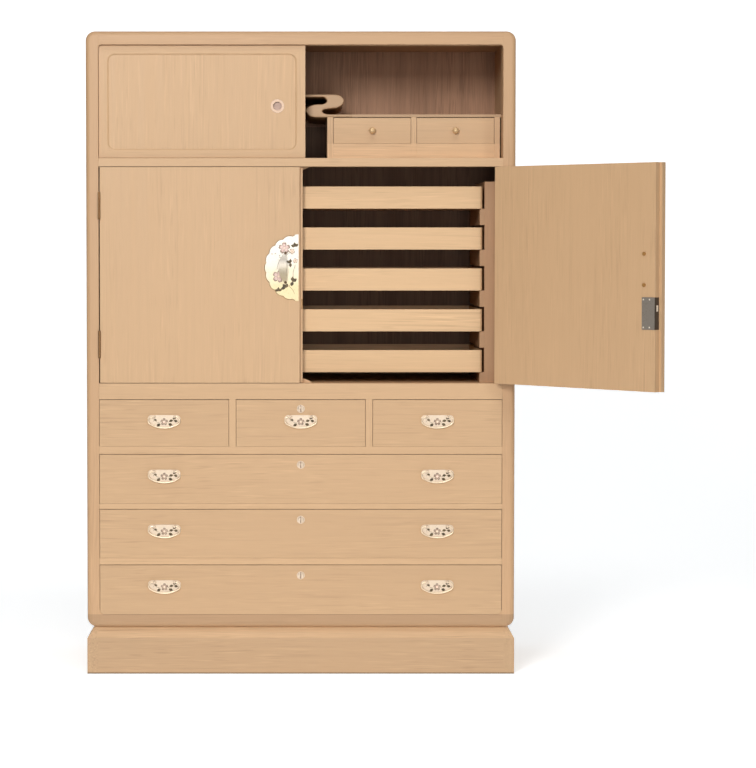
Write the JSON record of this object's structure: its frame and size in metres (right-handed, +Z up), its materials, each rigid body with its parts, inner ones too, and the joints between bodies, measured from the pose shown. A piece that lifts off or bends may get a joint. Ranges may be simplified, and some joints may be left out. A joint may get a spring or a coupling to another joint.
{
  "type": "tansu chest",
  "caption": "Free-standing wooden kimono chest on a plinth: sliding doors over hinged doors with trays, and drawers with drop handles below.",
  "frame": {"origin": "middle of the plinth's bottom face, at floor level", "axes": "+X to the chest's right as seen from the front, +Y to its back, +Z up; the front faces -Y"},
  "size_m": [1.5294, 0.9095, 1.77],
  "materials": {
    "case_wood": "satin",
    "front_wood": "satin",
    "back_wood": "matte",
    "drawer_wood": "satin",
    "tray_wood": "satin",
    "rack_wood": "satin",
    "hinge_brass": "satin",
    "fitting_plate": "satin",
    "fitting_metal": "polished",
    "lock_steel": "satin",
    "bolt_brass": "polished"
  },
  "bodies": {
    "case": {"plinth": "case_wood", "side_panels": "case_wood", "top_panel": "case_wood", "bottom_panel": "case_wood", "back_panel": "back_wood", "front_frame": "front_wood", "upper_shelf": "front_wood", "waist_shelf": "front_wood", "drawer_frames": "front_wood", "staggered_shelves": "front_wood", "scroll_bracket": "front_wood", "inner_box": "front_wood", "tray_racks": "rack_wood", "case_hinges": "hinge_brass"},
    "left_door": {"left_door_panel": "front_wood", "left_door_fittings": "fitting_plate", "left_door_hinges": "hinge_brass"},
    "right_door": {"right_door_panel": "front_wood", "right_door_fittings": "fitting_plate", "right_door_hinges": "hinge_brass", "door_lock": "lock_steel"},
    "lock_bolt": {"lock_bolt": "bolt_brass"},
    "sliding_door_front": {"sliding_door_front": "front_wood", "sliding_pull_front": "fitting_metal"},
    "sliding_door_rear": {"sliding_door_rear": "front_wood", "sliding_pull_rear": "fitting_metal"},
    "drawer_small_left": {"drawer_small_left": "drawer_wood", "fittings_small_left": "fitting_plate"},
    "bail_small_left": {"bail_small_left": "fitting_metal"},
    "drawer_small_middle": {"drawer_small_middle": "drawer_wood", "fittings_small_middle": "fitting_plate"},
    "bail_small_middle": {"bail_small_middle": "fitting_metal"},
    "lock_plug_small": {"lock_plug_small": "fitting_metal"},
    "drawer_small_right": {"drawer_small_right": "drawer_wood", "fittings_small_right": "fitting_plate"},
    "bail_small_right": {"bail_small_right": "fitting_metal"},
    "drawer_wide_top": {"drawer_wide_top": "drawer_wood", "fittings_wide_top": "fitting_plate"},
    "bail_wide_top_left": {"bail_wide_top_left": "fitting_metal"},
    "bail_wide_top_right": {"bail_wide_top_right": "fitting_metal"},
    "lock_plug_top": {"lock_plug_top": "fitting_metal"},
    "drawer_wide_middle": {"drawer_wide_middle": "drawer_wood", "fittings_wide_middle": "fitting_plate"},
    "bail_wide_middle_left": {"bail_wide_middle_left": "fitting_metal"},
    "bail_wide_middle_right": {"bail_wide_middle_right": "fitting_metal"},
    "lock_plug_middle": {"lock_plug_middle": "fitting_metal"},
    "drawer_wide_bottom": {"drawer_wide_bottom": "drawer_wood", "fittings_wide_bottom": "fitting_plate"},
    "bail_wide_bottom_left": {"bail_wide_bottom_left": "fitting_metal"},
    "bail_wide_bottom_right": {"bail_wide_bottom_right": "fitting_metal"},
    "lock_plug_bottom": {"lock_plug_bottom": "fitting_metal"},
    "inner_drawer_left": {"inner_drawer_left": "drawer_wood", "inner_knob_left": "fitting_metal"},
    "inner_drawer_right": {"inner_drawer_right": "drawer_wood", "inner_knob_right": "fitting_metal"},
    "tray_1": {"tray_1": "tray_wood"},
    "tray_2": {"tray_2": "tray_wood"},
    "tray_3": {"tray_3": "tray_wood"},
    "tray_4": {"tray_4": "tray_wood"},
    "tray_5": {"tray_5": "tray_wood"}
  },
  "joints": [
    {"name": "left_door_hinge", "type": "hinge", "parent": "case", "child": "left_door", "pos_m": [-0.5535, -0.2488, 1.102], "axis": [0, 0, -1], "range_deg": [0, 170]},
    {"name": "right_door_hinge", "type": "hinge", "parent": "case", "child": "right_door", "pos_m": [0.5535, -0.2488, 1.102], "axis": [0, 0, 1], "range_deg": [-134.4, 35.6]},
    {"name": "lock_bolt_slide", "type": "slide", "parent": "right_door", "child": "lock_bolt", "axis": [0.6997, -0.7145, 0], "range_m": [0, 0.006]},
    {"name": "sliding_door_front_slide", "type": "slide", "parent": "case", "child": "sliding_door_front", "axis": [-1, 0, 0], "range_m": [-0.542, 0]},
    {"name": "sliding_door_rear_slide", "type": "slide", "parent": "case", "child": "sliding_door_rear", "axis": [-1, 0, 0], "range_m": [-0.542, 0]},
    {"name": "drawer_small_left_slide", "type": "slide", "parent": "case", "child": "drawer_small_left", "axis": [0, -1, 0], "range_m": [0, 0.33]},
    {"name": "bail_small_left_swing", "type": "hinge", "parent": "drawer_small_left", "child": "bail_small_left", "pos_m": [-0.37633, -0.2507, 0.7122], "axis": [-1, 0, 0], "range_deg": [0, 75]},
    {"name": "drawer_small_middle_slide", "type": "slide", "parent": "case", "child": "drawer_small_middle", "axis": [0, -1, 0], "range_m": [0, 0.33]},
    {"name": "bail_small_middle_swing", "type": "hinge", "parent": "drawer_small_middle", "child": "bail_small_middle", "pos_m": [0, -0.2507, 0.7122], "axis": [-1, 0, 0], "range_deg": [0, 75]},
    {"name": "lock_plug_small_turn", "type": "hinge", "parent": "drawer_small_middle", "child": "lock_plug_small", "pos_m": [0, -0.245, 0.7339], "axis": [0, -1, 0], "range_deg": [0, 90]},
    {"name": "drawer_small_right_slide", "type": "slide", "parent": "case", "child": "drawer_small_right", "axis": [0, -1, 0], "range_m": [0, 0.33]},
    {"name": "bail_small_right_swing", "type": "hinge", "parent": "drawer_small_right", "child": "bail_small_right", "pos_m": [0.37633, -0.2507, 0.7122], "axis": [-1, 0, 0], "range_deg": [0, 75]},
    {"name": "drawer_wide_top_slide", "type": "slide", "parent": "case", "child": "drawer_wide_top", "axis": [0, -1, 0], "range_m": [0, 0.33]},
    {"name": "bail_wide_top_left_swing", "type": "hinge", "parent": "drawer_wide_top", "child": "bail_wide_top_left", "pos_m": [-0.37633, -0.2507, 0.5612], "axis": [-1, 0, 0], "range_deg": [0, 75]},
    {"name": "bail_wide_top_right_swing", "type": "hinge", "parent": "drawer_wide_top", "child": "bail_wide_top_right", "pos_m": [0.37633, -0.2507, 0.5612], "axis": [-1, 0, 0], "range_deg": [0, 75]},
    {"name": "lock_plug_top_turn", "type": "hinge", "parent": "drawer_wide_top", "child": "lock_plug_top", "pos_m": [0, -0.245, 0.5793], "axis": [0, -1, 0], "range_deg": [0, 90]},
    {"name": "drawer_wide_middle_slide", "type": "slide", "parent": "case", "child": "drawer_wide_middle", "axis": [0, -1, 0], "range_m": [0, 0.33]},
    {"name": "bail_wide_middle_left_swing", "type": "hinge", "parent": "drawer_wide_middle", "child": "bail_wide_middle_left", "pos_m": [-0.37633, -0.2507, 0.4092], "axis": [-1, 0, 0], "range_deg": [0, 75]},
    {"name": "bail_wide_middle_right_swing", "type": "hinge", "parent": "drawer_wide_middle", "child": "bail_wide_middle_right", "pos_m": [0.37633, -0.2507, 0.4092], "axis": [-1, 0, 0], "range_deg": [0, 75]},
    {"name": "lock_plug_middle_turn", "type": "hinge", "parent": "drawer_wide_middle", "child": "lock_plug_middle", "pos_m": [0, -0.245, 0.4273], "axis": [0, -1, 0], "range_deg": [0, 90]},
    {"name": "drawer_wide_bottom_slide", "type": "slide", "parent": "case", "child": "drawer_wide_bottom", "axis": [0, -1, 0], "range_m": [0, 0.33]},
    {"name": "bail_wide_bottom_left_swing", "type": "hinge", "parent": "drawer_wide_bottom", "child": "bail_wide_bottom_left", "pos_m": [-0.37633, -0.2507, 0.2552], "axis": [-1, 0, 0], "range_deg": [0, 75]},
    {"name": "bail_wide_bottom_right_swing", "type": "hinge", "parent": "drawer_wide_bottom", "child": "bail_wide_bottom_right", "pos_m": [0.37633, -0.2507, 0.2552], "axis": [-1, 0, 0], "range_deg": [0, 75]},
    {"name": "lock_plug_bottom_turn", "type": "hinge", "parent": "drawer_wide_bottom", "child": "lock_plug_bottom", "pos_m": [0, -0.245, 0.2733], "axis": [0, -1, 0], "range_deg": [0, 90]},
    {"name": "inner_drawer_left_slide", "type": "slide", "parent": "case", "child": "inner_drawer_left", "axis": [0, -1, 0], "range_m": [0, 0.3]},
    {"name": "inner_drawer_right_slide", "type": "slide", "parent": "case", "child": "inner_drawer_right", "axis": [0, -1, 0], "range_m": [0, 0.3]},
    {"name": "tray_1_slide", "type": "slide", "parent": "case", "child": "tray_1", "axis": [0, -1, 0], "range_m": [0, 0.17209]},
    {"name": "tray_2_slide", "type": "slide", "parent": "case", "child": "tray_2", "axis": [0, -1, 0], "range_m": [0, 0.17209]},
    {"name": "tray_3_slide", "type": "slide", "parent": "case", "child": "tray_3", "axis": [0, -1, 0], "range_m": [0, 0.17209]},
    {"name": "tray_4_slide", "type": "slide", "parent": "case", "child": "tray_4", "axis": [0, -1, 0], "range_m": [0, 0.17209]},
    {"name": "tray_5_slide", "type": "slide", "parent": "case", "child": "tray_5", "axis": [0, -1, 0], "range_m": [0, 0.17209]}
  ],
  "couplings": [
    {"joint": "tray_1_slide", "follows": "left_door_hinge", "m_per_rad": 0.058},
    {"joint": "tray_2_slide", "follows": "left_door_hinge", "m_per_rad": 0.058},
    {"joint": "tray_3_slide", "follows": "left_door_hinge", "m_per_rad": 0.058},
    {"joint": "tray_4_slide", "follows": "left_door_hinge", "m_per_rad": 0.058},
    {"joint": "tray_5_slide", "follows": "left_door_hinge", "m_per_rad": 0.058}
  ]
}
